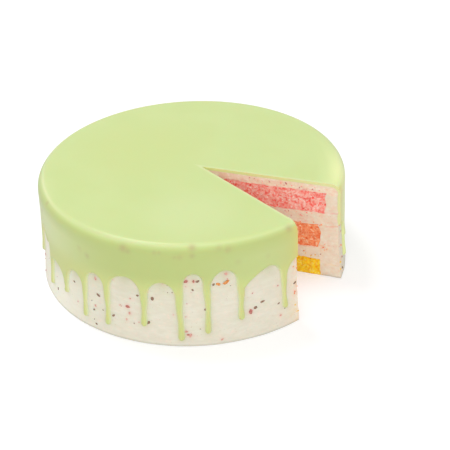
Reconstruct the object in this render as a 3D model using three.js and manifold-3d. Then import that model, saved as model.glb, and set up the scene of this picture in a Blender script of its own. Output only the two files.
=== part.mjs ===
// A drip cake with a wedge-shaped notch cut out of it: three coloured sponges with cream
// between them, a cream coat with fruit flakes that flares at its foot, and a thin poured
// glaze that runs down the side in drips.
// Lengths are in millimetres. The origin is on the cake's axis at its base, +Z is up, and
// +X runs the way the notch opens.
import * as THREE from 'three';
import { mergeVertices } from 'three/addons/utils/BufferGeometryUtils.js';
import Module from 'manifold-3d';

const wasm = await Module();
wasm.setup();

// Driving dimensions of the whole cake.
const CAKE_RADIUS = 120;
const CAKE_HEIGHT = 84;
const GAP = 0.3; // clearance between neighbouring pieces

// The glaze: a skin over the top and rim, thinning to nothing at its lower outline.
const TOP_THICKNESS = 2.2;
const SIDE_THICKNESS = 1.6;
const DRIP_THICKNESS = 1.6;
const BULB_THICKNESS = 1.9;
const LIP_WIDTH = 2.2; // how far in from its outline the skin reaches full thickness
const BAND_FOOT = 69; // above this height the skin goes all the way round

// Where the glaze's rows of points lie: round an arch's flank in degrees, and across a row
// as shares of its width.
const FLANK_TURNS = [0, 14, 36, 62, 90];
const WIDE_ROW = [0.07, 0.2, 0.5, 0.8, 0.93];
const NARROW_ROW = [0.2, 0.5, 0.8];
const BACK_ROW = [0.3, 0.7];

// The cream coat, with a rounded top edge and a slightly flared foot.
const COAT_RADIUS = CAKE_RADIUS - SIDE_THICKNESS - GAP;
const COAT_TOP = CAKE_HEIGHT - TOP_THICKNESS - GAP;
const COAT_CORNER = 5.6;
const COAT_FLARE = 4.4;
const CORNER_STEPS = 3;
const COAT_COLUMNS = 72;
const SIDE_HEIGHTS = [0, 10, 24, 44];

// Layers from the base up. Each ends where the next begins.
const LAYERS = [
  { name: 'sponge_bottom', top: 15.7, radius: 105.0, colour: 0xf6b51c, roughness: 0.95 },
  { name: 'filling_lower', top: 26.8, radius: 102.0, colour: 0xece3c8, roughness: 0.55 },
  { name: 'sponge_middle', top: 46.0, radius: 104.5, colour: 0xf07646, roughness: 0.95 },
  { name: 'filling_upper', top: 57.1, radius: 102.0, colour: 0xece3c8, roughness: 0.55 },
  { name: 'sponge_top', top: 75.6, radius: 109.0, colour: 0xe98b86, roughness: 0.95 },
];
const LAYER_COLUMNS = 40;
const LAYER_RINGS = [26, 52, 78, 100];
const LAYER_WAVE = 1.1; // how far a layer's face rises and falls

// The notch: two upright cuts that meet a little off the cake's axis.
const NOTCH_TIP = new THREE.Vector2(9.0, 1.0);
const NOTCH_HALF_ANGLE = THREE.MathUtils.degToRad(16.3);

// The drips that the near side shows, by angle round the cake, height of the tip above the
// table, and width. Each is followed by the arch on its anticlockwise side, and by how full
// the arch's flank is there: 2 is an ellipse, and 1 would be straight.
const SHOWN_DRIPS = [
  { angle: -118.4, tip: 12.0, width: 4.4, arch: -114.6, archTop: 37.0, flank: 2 },
  { angle: -106.8, tip: 17.4, width: 4.6, arch: -101.0, archTop: 41.6, flank: 2 },
  { angle: -96.0, tip: 7.5, width: 4.4, arch: -90.9, archTop: 48.4, flank: 2 },
  { angle: -85.8, tip: 8.3, width: 4.6, arch: -78.1, archTop: 53.5, flank: 2 },
  { angle: -71.4, tip: 14.4, width: 4.8, arch: -64.9, archTop: 52.6, flank: 2 },
  { angle: -58.8, tip: 4.7, width: 5.0, arch: -53.8, archTop: 60.5, flank: 2 },
  { angle: -49.3, tip: 9.9, width: 4.6, arch: -42.9, archTop: 61.1, flank: 1.8 },
  { angle: -37.4, tip: 17.5, width: 4.8, arch: -26.6, archTop: 56.4, flank: 1.3 },
  { angle: -20.6, tip: 16.0, width: 4.4, arch: -13.6, archTop: 54.6, flank: 2 },
];

// How far an arch's flank falls before it runs down a drip: by the arch's half width, but never
// more than a set height or a share of the drip's length.
const FLANK_FALL = { least: 2, slope: 1.1, most: 13, share: 0.6 };

// A drip's width at its neck, at its narrowest and at its bulb, as shares of its own width, where
// the narrowest lies as a share of the way up from the bulb, and the bulb's height for its width.
const NECK_SHARE = 1.3;
const WAIST_SHARE = 0.85;
const WAIST_PLACE = 0.35;
const BULB_SHARE = 1.06;
const BULB_HEIGHT = 1.2;
const BULB_TURNS = [0, 50];

// The rest of the ring, drawn by rule.
const HIDDEN_DRIPS = 17;
const HIDDEN_TIP = [5, 24];
const HIDDEN_WIDTH = [4.0, 5.4];
const HIDDEN_ARCH_TOP = [46, 63];
const HIDDEN_FLANK = [1.5, 2.2];

// Fruit flakes pressed into the cream between the drips. They keep clear of the drips' middle
// lines by an angle, of the floor by a height and of the arch's crown by another.
const FLAKES_PER_ARCH = 2;
const FLAKE_LENGTH = [1.4, 2.6];
const FLAKE_WIDTH_SHARE = 0.66;
const FLAKE_DEPTH = 1.8;
const FLAKE_PROUD = 0.35;
const FLAKE_CLEAR_ANGLE = 3;
const FLAKE_FLOOR = 5;
const FLAKE_CLEAR_CROWN = 14;

const turn = (degrees) => THREE.MathUtils.degToRad(degrees);
const mix = THREE.MathUtils.lerp;

// A repeatable draw from 0 to 1 for the numbered item.
function draw(item, salt) {
  const wave = Math.sin(item * 12.9898 + salt * 78.233) * 43758.5453;
  return wave - Math.floor(wave);
}

// Turns a closed three.js geometry into a solid that can be cut and joined.
function solidOf(geometry) {
  const bare = geometry.clone();
  bare.deleteAttribute('normal');
  bare.deleteAttribute('uv');
  const merged = mergeVertices(bare, 1e-4);
  const index = merged.index.array;
  const faces = [];
  for (let i = 0; i < index.length; i += 3) {
    const [a, b, c] = index.slice(i, i + 3);
    if (a !== b && b !== c && c !== a) faces.push(a, b, c);
  }
  return new wasm.Manifold(new wasm.Mesh({
    numProp: 3,
    vertProperties: new Float32Array(merged.attributes.position.array),
    triVerts: new Uint32Array(faces),
  }));
}

// Turns a solid back into a geometry with flat faces.
function geometryOf(solid) {
  const mesh = solid.getMesh();
  const geometry = new THREE.BufferGeometry();
  geometry.setAttribute('position', new THREE.BufferAttribute(mesh.vertProperties, 3));
  geometry.setIndex(new THREE.BufferAttribute(mesh.triVerts, 1));
  geometry.computeVertexNormals();
  return geometry;
}

// Spins a profile of [radius, height] points about the cake's axis.
function spin(profile, columns) {
  const points = profile.map(([radius, height]) => new THREE.Vector2(radius, height));
  return new THREE.LatheGeometry(points, columns).rotateX(Math.PI / 2);
}

// The radius of the cream coat's upright side at a height.
function coatRadius(height) {
  return COAT_RADIUS + COAT_FLARE * (1 - height / COAT_TOP) ** 2;
}

// The coat's rounded top edge, moved outwards and upwards, from the side to the top.
function cornerProfile(outwards, upwards) {
  const points = [];
  for (let i = 0; i <= CORNER_STEPS; i += 1) {
    const angle = (i / CORNER_STEPS) * Math.PI / 2;
    points.push([
      COAT_RADIUS - COAT_CORNER + (COAT_CORNER + outwards) * Math.cos(angle),
      COAT_TOP - COAT_CORNER + (COAT_CORNER + upwards) * Math.sin(angle),
    ]);
  }
  return points;
}

// How far the face above layer number `layer` stands off its level at a place.
function faceWave(layer, x, y) {
  if (layer < 0) return 0;
  const slow = Math.sin(x / 23 + 1.7 * layer) + Math.cos(y / 19 + 2.3 * layer);
  return LAYER_WAVE * (slow + Math.sin((x + y) / 31 + layer)) / 3;
}

// One disc of the stack with uneven faces, grown by `grow` on every side.
function layerDisc(layer, grow) {
  const floor = layer === 0;
  const low = (floor ? 0 : LAYERS[layer - 1].top + GAP / 2) - grow;
  const high = LAYERS[layer].top - GAP / 2 + grow;
  const rings = [...LAYER_RINGS, LAYERS[layer].radius + grow];
  const profile = [[0, low], ...rings.map((ring) => [ring, low])];
  profile.push(...rings.toReversed().map((ring) => [ring, high]), [0, high]);
  const disc = spin(profile, LAYER_COLUMNS);
  const place = disc.attributes.position;
  const middle = (low + high) / 2;
  for (let i = 0; i < place.count; i += 1) {
    const x = place.getX(i);
    const y = place.getY(i);
    const face = place.getZ(i) > middle ? layer : layer - 1;
    place.setZ(i, place.getZ(i) + faceWave(face, x, y));
  }
  return solidOf(disc);
}

// The wedge of space that makes the notch.
function notchWedge() {
  const reach = 2 * CAKE_RADIUS;
  const outline = new THREE.Shape();
  outline.moveTo(NOTCH_TIP.x, NOTCH_TIP.y);
  for (const side of [-1, 1]) {
    outline.lineTo(
      NOTCH_TIP.x + reach * Math.cos(side * NOTCH_HALF_ANGLE),
      NOTCH_TIP.y + reach * Math.sin(side * NOTCH_HALF_ANGLE),
    );
  }
  outline.closePath();
  const wedge = new THREE.ExtrudeGeometry(outline, { depth: 2 * CAKE_HEIGHT, bevelEnabled: false });
  return solidOf(wedge.translate(0, 0, -CAKE_HEIGHT / 2));
}

// All drips in order round the cake: the shown ones, then the hidden ones drawn by rule.
function dripRing() {
  const ring = SHOWN_DRIPS.map((drip) => ({ ...drip }));
  const first = ring.at(-1).arch;
  const step = (ring[0].angle + 360 - first) / (HIDDEN_DRIPS + 0.5);
  for (let i = 0; i < HIDDEN_DRIPS; i += 1) {
    const start = first + i * step;
    ring.push({
      angle: start + step * mix(0.38, 0.62, draw(i, 1)),
      tip: mix(...HIDDEN_TIP, draw(i, 2)),
      width: mix(...HIDDEN_WIDTH, draw(i, 3)),
      arch: start + step * mix(0.94, 1.06, draw(i, 4)),
      archTop: mix(...HIDDEN_ARCH_TOP, draw(i, 5)),
      flank: mix(...HIDDEN_FLANK, draw(i, 10)),
    });
  }
  return ring;
}

// A drip's outline on one side, from the crown of the arch down to the tip, as points of
// [distance from the drip's middle line, height].
function dripEdge(drip, reach, archTop, flank) {
  const half = drip.width / 2;
  const neck = NECK_SHARE * half;
  const bulb = BULB_SHARE * half;
  const wish = FLANK_FALL.least + FLANK_FALL.slope * (reach - neck);
  const rise = Math.min(wish, FLANK_FALL.most, FLANK_FALL.share * (archTop - drip.tip));
  const edge = [];
  for (const angle of FLANK_TURNS) {
    edge.push([
      reach - (reach - neck) * Math.sin(turn(angle)) ** (2 / flank),
      archTop - rise + rise * Math.max(Math.cos(turn(angle)), 0) ** (2 / flank),
    ]);
  }
  const drop = BULB_HEIGHT * bulb;
  const bulbTop = drip.tip + drop;
  edge.push([WAIST_SHARE * half, mix(bulbTop, archTop - rise, WAIST_PLACE)]);
  for (const angle of BULB_TURNS) {
    edge.push([bulb * Math.cos(turn(angle)), bulbTop - drop * Math.sin(turn(angle))]);
  }
  return edge;
}

// The skin's thickness at a distance in from its outline.
function skinThickness(distance, full) {
  const depth = 1 - Math.min(distance / LIP_WIDTH, 1);
  return full * Math.sqrt(1 - depth * depth);
}

// Collects points and faces of the glaze, and joins rows of points with strips of triangles.
class SkinBuilder {
  constructor() {
    this.positions = [];
    this.faces = [];
  }

  // Adds a point at an angle in radians, a distance off the coat and a height.
  add(angle, offset, height, radius = coatRadius(height)) {
    const reach = radius + offset;
    this.positions.push(reach * Math.cos(angle), reach * Math.sin(angle), height);
    return this.positions.length / 3 - 1;
  }

  // Joins an upper row to a lower one. Each row is a list of { at, id }, with at rising.
  strip(upper, lower, outward) {
    let u = 0;
    let l = 0;
    while (u < upper.length - 1 || l < lower.length - 1) {
      const nextUpper = u < upper.length - 1 ? upper[u + 1].at : Infinity;
      const nextLower = l < lower.length - 1 ? lower[l + 1].at : Infinity;
      if (nextUpper <= nextLower) {
        this.face(upper[u].id, lower[l].id, upper[u + 1].id, outward);
        u += 1;
      } else {
        this.face(upper[u].id, lower[l].id, lower[l + 1].id, outward);
        l += 1;
      }
    }
  }

  face(a, b, c, outward) {
    if (outward) this.faces.push(a, b, c);
    else this.faces.push(a, c, b);
  }

  geometry() {
    const geometry = new THREE.BufferGeometry();
    geometry.setAttribute('position', new THREE.Float32BufferAttribute(this.positions, 3));
    geometry.setIndex(this.faces);
    return geometry;
  }
}

// The skin of one drip, between the crowns of the arches on its two sides.
// `left` and `right` hold the points shared with the neighbours, from the band down.
function addDrip(skin, drip, left, right) {
  const centre = turn(drip.angle);
  const reach = { left: (centre - left.angle) * COAT_RADIUS, right: (right.angle - centre) * COAT_RADIUS };
  const edges = {
    left: dripEdge(drip, reach.left, left.archTop, 2),
    right: dripEdge(drip, reach.right, right.archTop, drip.flank),
  };

  // A row across the drip, between two points of [distance from the middle line, height].
  const row = (from, to, inner, ends, thickness) => {
    const width = from[0] + to[0];
    const points = inner.map((at) => {
      const height = mix(from[1], to[1], at);
      const angle = centre + mix(-from[0], to[0], at) / COAT_RADIUS;
      return { at, id: skin.add(angle, GAP + thickness(Math.min(at, 1 - at) * width), height) };
    });
    return [{ at: 0, id: ends[0] }, ...points, { at: 1, id: ends[1] }];
  };

  // The rows over the crowns, whose ends are shared with the neighbouring drips.
  let outer = [];
  left.shared.forEach((shared, step) => {
    const from = [reach.left, shared.height];
    const to = [reach.right, right.shared[step].height];
    const inner = step === 0 ? NARROW_ROW : WIDE_ROW;
    const lip = (distance) => skinThickness(Math.hypot(distance, shared.above), SIDE_THICKNESS);
    const next = row(from, to, inner, [shared.outer, right.shared[step].outer], lip);
    if (step > 0) skin.strip(outer, next, true);
    else drip.bandOuter = next;
    outer = next;
  });
  const crownEnds = [left.shared.at(-1).outer, right.shared.at(-1).outer];
  const bare = () => 0;
  const bandEnds = [left.shared[0].inner, right.shared[0].inner];
  const band = [[reach.left, BAND_FOOT], [reach.right, BAND_FOOT]];
  drip.bandInner = row(...band, NARROW_ROW, bandEnds, bare);
  const crownLine = [[reach.left, left.archTop], [reach.right, right.archTop]];
  let backing = row(...crownLine, NARROW_ROW, crownEnds, bare);
  skin.strip(drip.bandInner, backing, false);

  // The rows below the crowns, whose ends lie on the outline. The last few are the bulb.
  edges.left.slice(1).forEach((from, step) => {
    const to = edges.right[step + 1];
    const ends = [
      skin.add(centre - from[0] / COAT_RADIUS, GAP, from[1]),
      skin.add(centre + to[0] / COAT_RADIUS, GAP, to[1]),
    ];
    const flank = step < FLANK_TURNS.length - 2;
    const swell = Math.max((step - FLANK_TURNS.length + 1) / 2, 0);
    const full = mix(DRIP_THICKNESS, BULB_THICKNESS, swell);
    const thickness = (distance) => skinThickness(distance, full);
    const next = row(from, to, flank ? WIDE_ROW : NARROW_ROW, ends, thickness);
    skin.strip(outer, next, true);
    outer = next;
    const behind = row(from, to, flank ? BACK_ROW : [], ends, bare);
    skin.strip(backing, behind, false);
    backing = behind;
  });
  const tip = [{ at: 0.5, id: skin.add(centre, GAP, drip.tip) }];
  skin.strip(outer, tip, true);
  skin.strip(backing, tip, false);
}

// The whole glaze before the notch is cut: drips, band, rounded rim and flat top.
function glazeSkin() {
  const ring = dripRing();
  const skin = new SkinBuilder();
  const crowns = ring.map((drip) => {
    const angle = turn(drip.arch);
    const levels = [{ height: BAND_FOOT, above: LIP_WIDTH, inner: skin.add(angle, GAP, BAND_FOOT) }];
    for (const above of [LIP_WIDTH, LIP_WIDTH / 4, 0]) {
      levels.push({ height: drip.archTop + above, above });
    }
    for (const level of levels) {
      level.outer = skin.add(angle, GAP + skinThickness(level.above, SIDE_THICKNESS), level.height);
    }
    return { angle, archTop: drip.archTop, shared: levels };
  });
  ring.forEach((drip, i) => {
    const left = { ...crowns.at(i - 1) };
    if (i === 0) left.angle -= 2 * Math.PI;
    addDrip(skin, drip, left, crowns[i]);
  });

  // The rim and the top, as rings of points that follow on from the band.
  for (const outward of [true, false]) {
    const side = outward ? 'bandOuter' : 'bandInner';
    const upwards = GAP + (outward ? TOP_THICKNESS : 0);
    const rim = cornerProfile(GAP + (outward ? SIDE_THICKNESS : 0), upwards);
    let below = ring.flatMap((drip) => drip[side].slice(0, -1));
    const count = below.length;
    const angles = below.map(({ id }) => Math.atan2(skin.positions[3 * id + 1], skin.positions[3 * id]));
    const close = (ids) => [...ids, ids[0]].map((id, at) => ({ at, id }));
    below = close(below.map(({ id }) => id));
    for (const [radius, height] of rim) {
      const above = close(angles.map((angle) => skin.add(angle, 0, height, radius)));
      skin.strip(above, below, outward);
      below = above;
    }
    const middle = skin.add(0, 0, COAT_TOP + upwards, 0);
    skin.strip([{ at: count, id: middle }], below, outward);
  }
  return solidOf(skin.geometry());
}

// One fruit flake lying in the coat's surface.
function fruitFlake(angle, height, length, tilt) {
  const flake = new THREE.IcosahedronGeometry(1, 0);
  flake.scale(FLAKE_DEPTH / 2, length / 2, FLAKE_WIDTH_SHARE * length / 2);
  flake.rotateX(tilt);
  flake.rotateZ(angle);
  const reach = coatRadius(height) + FLAKE_PROUD - FLAKE_DEPTH / 2;
  return solidOf(flake.translate(reach * Math.cos(angle), reach * Math.sin(angle), height));
}

// Flakes scattered below each arch, clear of the drips beside it.
function fruitFlakes() {
  const ring = dripRing();
  const flakes = [];
  ring.forEach((drip, i) => {
    const next = ring[(i + 1) % ring.length];
    const from = drip.angle + FLAKE_CLEAR_ANGLE;
    const to = (i + 1 < ring.length ? next.angle : next.angle + 360) - FLAKE_CLEAR_ANGLE;
    for (let n = 0; n < FLAKES_PER_ARCH; n += 1) {
      const item = i * FLAKES_PER_ARCH + n;
      const middle = mix(from, to, mix(0.15, 0.85, draw(item, 6)));
      const level = (n + draw(item, 7)) / FLAKES_PER_ARCH;
      const height = mix(FLAKE_FLOOR, drip.archTop - FLAKE_CLEAR_CROWN, level);
      const length = mix(...FLAKE_LENGTH, draw(item, 8));
      flakes.push(fruitFlake(turn(middle), height, length, Math.PI * draw(item, 9)));
    }
  });
  return flakes;
}

// The cream coat before the notch is cut: a lid and side wall round the stack of layers.
function creamCoat() {
  const side = SIDE_HEIGHTS.map((height) => [coatRadius(height), height]);
  const outside = spin([[0, 0], ...side, ...cornerProfile(0, 0), [0, COAT_TOP]], COAT_COLUMNS);
  let coat = solidOf(outside);
  for (const flake of fruitFlakes()) coat = coat.add(flake);
  LAYERS.forEach((layer, i) => {
    coat = coat.subtract(layerDisc(i, GAP));
  });
  return coat;
}

const cake = new THREE.Group();
const wedge = notchWedge();

// Cuts the notch out of a solid and adds it to the cake as a named mesh.
function serve(name, solid, colour, roughness) {
  const finish = { color: colour, roughness, metalness: 0, flatShading: true };
  const material = new THREE.MeshStandardMaterial(finish);
  const piece = new THREE.Mesh(geometryOf(solid.subtract(wedge)), material);
  piece.name = name;
  cake.add(piece);
}

LAYERS.forEach((layer, i) => serve(layer.name, layerDisc(i, 0), layer.colour, layer.roughness));
serve('cream_coat', creamCoat(), 0xece3c8, 0.55);
serve('glaze', glazeSkin(), 0xd2e39c, 0.25);

export default cake;
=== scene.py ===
import math

import bmesh
import bpy
import numpy as np
from mathutils import Matrix, Vector
from mathutils.kdtree import KDTree


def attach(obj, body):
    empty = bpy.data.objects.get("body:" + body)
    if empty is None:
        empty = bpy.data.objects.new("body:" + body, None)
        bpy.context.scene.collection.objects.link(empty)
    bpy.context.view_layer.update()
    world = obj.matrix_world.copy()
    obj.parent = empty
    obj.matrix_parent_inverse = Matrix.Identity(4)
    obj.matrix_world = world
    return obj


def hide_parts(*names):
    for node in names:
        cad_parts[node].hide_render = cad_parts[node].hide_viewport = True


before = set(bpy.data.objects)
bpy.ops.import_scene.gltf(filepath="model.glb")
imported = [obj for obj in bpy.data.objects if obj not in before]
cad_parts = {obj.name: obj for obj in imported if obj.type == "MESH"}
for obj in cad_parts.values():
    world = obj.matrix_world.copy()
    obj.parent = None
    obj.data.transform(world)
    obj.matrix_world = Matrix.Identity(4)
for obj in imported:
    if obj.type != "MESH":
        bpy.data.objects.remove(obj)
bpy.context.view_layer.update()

# The three sponges: airy batter baked as thin discs, coloured yellow, orange and pink and stacked from the
# plate up. A knife has opened a wedge through the stack, so the torn, open crumb shows on two walls.
MILLIMETRE = 0.001
NOTCH_TIP = np.array((9.0, 1.0))
NOTCH_TURNS = np.radians((16.3, 343.7))
# The way square out of each wall of the notch.
WALL_OUTS = [
    hand * np.array((-math.sin(turn), math.cos(turn), 0.0)) for turn, hand in zip(NOTCH_TURNS, (-1, 1))
]
# Each layer of the stack from the base up: its name, upper face and radius.
LAYERS = (
    ("sponge_bottom", 15.7, 105.0),
    ("filling_lower", 26.8, 102.0),
    ("sponge_middle", 46.0, 104.5),
    ("filling_upper", 57.1, 102.0),
    ("sponge_top", 75.6, 109.0),
)
NARROWEST = 102.0
LAYER_WAVE = 1.1
LAYER_COLUMNS = 33
WALL_STEP = 0.5
SPONGE_ROW_STEP = 0.55
SPONGE_RISE = 0.6

chance = np.random.default_rng(23)
LATTICE = chance.uniform(-1, 1, 8192)


def lattice_value(cells, salt):
    """A repeatable value from -1 to 1 for each whole-numbered cell."""
    x, y, z = np.moveaxis(np.asarray(cells).astype(np.int64), -1, 0)
    mixed = (x * 73856093) ^ (y * 19349663) ^ (z * 83492791) ^ (salt * 668265263)
    return LATTICE[(mixed ^ (mixed >> 15)) % LATTICE.size]


def ripple(points, size, salt):
    """Soft noise from -1 to 1 whose bumps are about `size` across."""
    scaled = points / np.asarray(size, float)
    cell = np.floor(scaled)
    blend = scaled - cell
    blend = blend * blend * (3 - 2 * blend)
    total = np.zeros(points.shape[:-1])
    for corner in np.ndindex(2, 2, 2):
        share = np.prod(np.where(corner, blend, 1 - blend), axis=-1)
        total += share * lattice_value(cell + corner, salt)
    return total


def pores(points, spacing, smallest, largest, salt):
    """How deep each point lies in round bubbles, one to a cell of a loose lattice."""
    cell = np.floor(points / spacing)
    depth = np.zeros(len(points))
    for step in np.ndindex(3, 3, 3):
        home = cell + np.array(step) - 1
        shift = np.stack([lattice_value(home, salt + axis) for axis in range(3)], -1)
        centre = (home + 0.5 + 0.45 * shift) * spacing
        size = smallest + (largest - smallest) * (lattice_value(home, salt + 3) + 1) / 2
        room = size ** 2 - ((points - centre) ** 2).sum(-1)
        depth = np.maximum(depth, np.sqrt(np.maximum(room, 0)))
    return depth


def face_height(layer, x, y):
    """The height of the face above a layer, slack where the discs sag and ragged where cream is spread."""
    if layer < 0:
        return np.zeros(np.shape(x))
    slow = np.sin(x / 23 + 1.7 * layer) + np.cos(y / 19 + 2.3 * layer) + np.sin((x + y) / 31 + layer)
    flat = np.stack((x, y, np.full(np.shape(x), 9.0 * layer)), -1)
    ragged = 0.45 * ripple(flat, 5.5, 11) + 0.22 * ripple(flat, 1.7, 12)
    return LAYERS[layer][1] + LAYER_WAVE * slow / 3 + ragged


def face_distance(points):
    """How far above or below the nearest face between two layers each point lies."""
    heights = [face_height(face, points[:, 0], points[:, 1]) for face in range(len(LAYERS))]
    return np.abs(points[:, 2] - np.stack(heights)).min(0)


def layer_foot(layer):
    """The height at which a layer starts."""
    return LAYERS[layer - 1][1] if layer else 0.0


def heading(turns):
    """The level way that each turn points."""
    return np.stack((np.cos(turns), np.sin(turns)), -1)


def reach_to(way, circles):
    """How far from the notch's tip each way meets circles round the cake's axis."""
    along = (way @ NOTCH_TIP)[:, None]
    return np.sqrt(along ** 2 - NOTCH_TIP @ NOTCH_TIP + circles ** 2) - along


def spots_on_rays(turns, station):
    """A spot on each ray from the notch's tip. From the narrowest layer's rim on, a station is a radius."""
    way = heading(turns)
    return NOTCH_TIP + way * (reach_to(way, max(station, NARROWEST)) * min(station / NARROWEST, 1))


def stations_to(radius):
    """The stations from the tip to a radius, half a millimetre apart."""
    return np.linspace(0, radius, round(radius / WALL_STEP) + 1)


def ramp(values, start, end):
    """A share that goes from 0 at one value to 1 at another, and no further."""
    return np.clip((values - start) / (end - start), 0, 1)


def fray(points):
    """Moves points near the discs' outer ends in or out a little, so no end is cut dead straight."""
    away = points[:, :2] - NOTCH_TIP
    reach = np.hypot(points[:, 0], points[:, 1])
    wander = 1.5 * ripple(points, (14, 14, 6.5), 21) + 0.6 * ripple(points, (5, 5, 2.5), 22)
    wander = wander * (ramp(reach, 92, 100) * ramp(reach, 112, 109))
    lengths = np.maximum(np.hypot(away[:, 0], away[:, 1]), 1e-6)
    moved = points.copy()
    moved[:, :2] += away * (wander / lengths)[:, None]
    return moved


class Shell:
    """Collects sheets of points in millimetres and welds them into one closed surface."""

    def __init__(self):
        self.points = []
        self.faces = []
        self.count = 0

    def add(self, points):
        points = np.asarray(points, float)
        ids = self.count + np.arange(points[..., 0].size).reshape(points.shape[:-1])
        self.points.append(points.reshape(-1, 3))
        self.count += ids.size
        return ids

    def sheet(self, points):
        ids = self.add(points)
        corners = (ids[:-1, :-1], ids[1:, :-1], ids[1:, 1:], ids[:-1, 1:])
        self.faces.append(np.stack(corners, -1).reshape(-1, 4))

    def strip(self, first, second):
        """Joins two rows of points whose numbers differ."""
        first, second = self.add(first), self.add(second)
        shares = (np.linspace(0, 1, len(first)), np.linspace(0, 1, len(second)))
        a = b = 0
        faces = []
        while a < len(first) - 1 or b < len(second) - 1:
            last = b == len(second) - 1
            if last or (a < len(first) - 1 and shares[0][a + 1] <= shares[1][b + 1]):
                faces.append((first[a], second[b], first[a + 1], first[a + 1]))
                a += 1
            else:
                faces.append((first[a], second[b], second[b + 1], second[b + 1]))
                b += 1
        self.faces.append(np.array(faces))

    def weld(self):
        """The points with doubles merged, and the faces that are left, four-sided and three-sided."""
        points = np.concatenate(self.points)
        keys = np.round(points * 1000).astype(np.int64)
        _, kept, same = np.unique(keys, axis=0, return_index=True, return_inverse=True)
        faces = same.reshape(-1)[np.concatenate(self.faces)]
        doubled = faces == np.roll(faces, -1, axis=1)
        quads = faces[doubled.sum(1) == 0]
        folded = doubled.sum(1) == 1
        triangles = faces[folded][~doubled[folded]].reshape(-1, 3)
        return points[kept], quads, triangles


def make_piece(name, points, quads, triangles, crease=40):
    """A closed mesh object from points in millimetres, smooth except at edges sharper than `crease`."""
    mesh = bpy.data.meshes.new(name)
    mesh.vertices.add(len(points))
    mesh.vertices.foreach_set("co", (points * MILLIMETRE).astype(np.float32).ravel())
    loops = np.concatenate((quads.ravel(), triangles.ravel())).astype(np.int32)
    fours = 4 * np.arange(len(quads))
    threes = 4 * len(quads) + 3 * np.arange(len(triangles))
    mesh.loops.add(len(loops))
    mesh.loops.foreach_set("vertex_index", loops)
    mesh.polygons.add(len(quads) + len(triangles))
    mesh.polygons.foreach_set("loop_start", np.concatenate((fours, threes)).astype(np.int32))
    mesh.update(calc_edges=True)
    turned = bmesh.new()
    turned.from_mesh(mesh)
    bmesh.ops.recalc_face_normals(turned, faces=turned.faces)
    turned.to_mesh(mesh)
    turned.free()
    mesh.shade_smooth()
    mesh.set_sharp_from_angle(angle=math.radians(crease))
    piece = bpy.data.objects.new(name, mesh)
    bpy.context.scene.collection.objects.link(piece)
    return piece


def mark(piece, name, values, domain="POINT"):
    """Keeps one number for each point or face of a piece, for its material to read."""
    layer = piece.data.attributes.new(name, "FLOAT", domain)
    layer.data.foreach_set("value", np.asarray(values, np.float32))


def on_cut(points):
    """Whether each point lies on a wall of the notch, and the way out of the cake there."""
    away = points[:, :2] - NOTCH_TIP
    found = np.zeros(len(points), bool)
    outwards = np.zeros((len(points), 3))
    for turn, out in zip(NOTCH_TURNS, WALL_OUTS):
        here = (np.abs(away @ out[:2]) < 1e-3) & (away @ heading(turn) > 1e-3)
        found |= here
        outwards[here] = out
    return found, outwards


def tip_fade(points):
    """Nothing at the notch's inmost edge, rising to all of it two millimetres out."""
    return ramp(np.linalg.norm(points[:, :2] - NOTCH_TIP, axis=1), 0, 2)


def layer_shell(layer, row_step):
    """One disc of the stack with the wedge taken out, dense on the two walls of the notch."""
    turns = np.linspace(*NOTCH_TURNS, LAYER_COLUMNS)
    spots = np.stack([spots_on_rays(turns, station) for station in stations_to(LAYERS[layer][2])], 1)
    floor = face_height(layer - 1, spots[..., 0], spots[..., 1])
    roof = face_height(layer, spots[..., 0], spots[..., 1])
    shares = np.linspace(0, 1, round((LAYERS[layer][1] - layer_foot(layer)) / row_step) + 1)
    heights = floor[..., None] + (roof - floor)[..., None] * shares
    flat = np.broadcast_to(spots[:, :, None], heights.shape + (2,))
    block = np.concatenate((flat, heights[..., None]), -1)
    shell = Shell()
    for sheet in (block[0], block[-1], block[:, -1], block[:, :, 0], block[:, :, -1]):
        shell.sheet(sheet)
    return shell.weld()


def linear(red, green, blue):
    """A shader colour from the 0 to 255 levels that a screen shows."""
    levels = np.array((red, green, blue)) / 255
    lit = np.where(levels <= 0.04045, levels / 12.92, ((levels + 0.055) / 1.055) ** 2.4)
    return (*lit, 1.0)


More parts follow.
